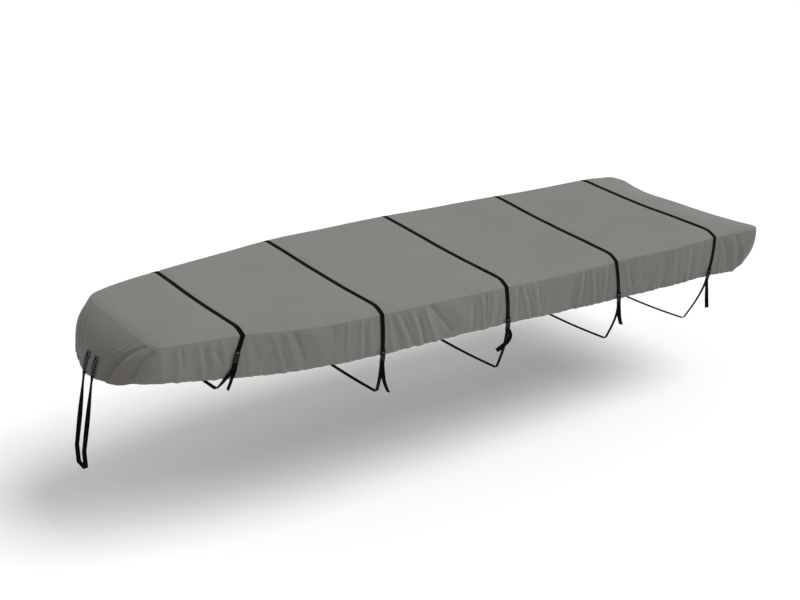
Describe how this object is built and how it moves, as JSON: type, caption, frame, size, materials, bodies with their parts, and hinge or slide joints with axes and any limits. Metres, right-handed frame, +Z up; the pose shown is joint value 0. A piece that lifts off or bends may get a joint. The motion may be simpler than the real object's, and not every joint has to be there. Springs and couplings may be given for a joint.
{
  "type": "boat cover",
  "caption": "Fitted grey cloth cover for an open flat-bottomed boat with a square bow, strapped round the hull with black webbing and side-release buckles.",
  "frame": {"origin": "on the underside of the top panel, on the boat's centre line, where the middle strap crosses", "axes": "+X to port, +Y to the stern along the cover's length, +Z up; the bow is at -Y"},
  "size_m": [1.6764, 5.3547, 0.9427],
  "materials": {
    "top_cloth": "matt coated polyester, pale grey",
    "skirt_cloth": "matt coated polyester, grey",
    "webbing": "black woven webbing",
    "buckle_plastic": "black moulded plastic"
  },
  "bodies": {
    "root": {"top_panel": "top_cloth", "side_panel_port": "skirt_cloth", "side_panel_starboard": "skirt_cloth", "bow_panel": "skirt_cloth", "stern_panel": "skirt_cloth", "strap_1": "webbing", "strap_2": "webbing", "strap_3": "webbing", "strap_4": "webbing", "strap_5": "webbing", "buckle_socket_1": "buckle_plastic", "buckle_socket_2": "buckle_plastic", "buckle_socket_3": "buckle_plastic", "buckle_socket_4": "buckle_plastic", "buckle_socket_5": "buckle_plastic", "buckle_plug_1": "buckle_plastic", "buckle_plug_2": "buckle_plastic", "buckle_plug_3": "buckle_plastic", "buckle_plug_4": "buckle_plastic", "buckle_plug_5": "buckle_plastic", "bow_strap": "webbing"}
  },
  "joints": []
}
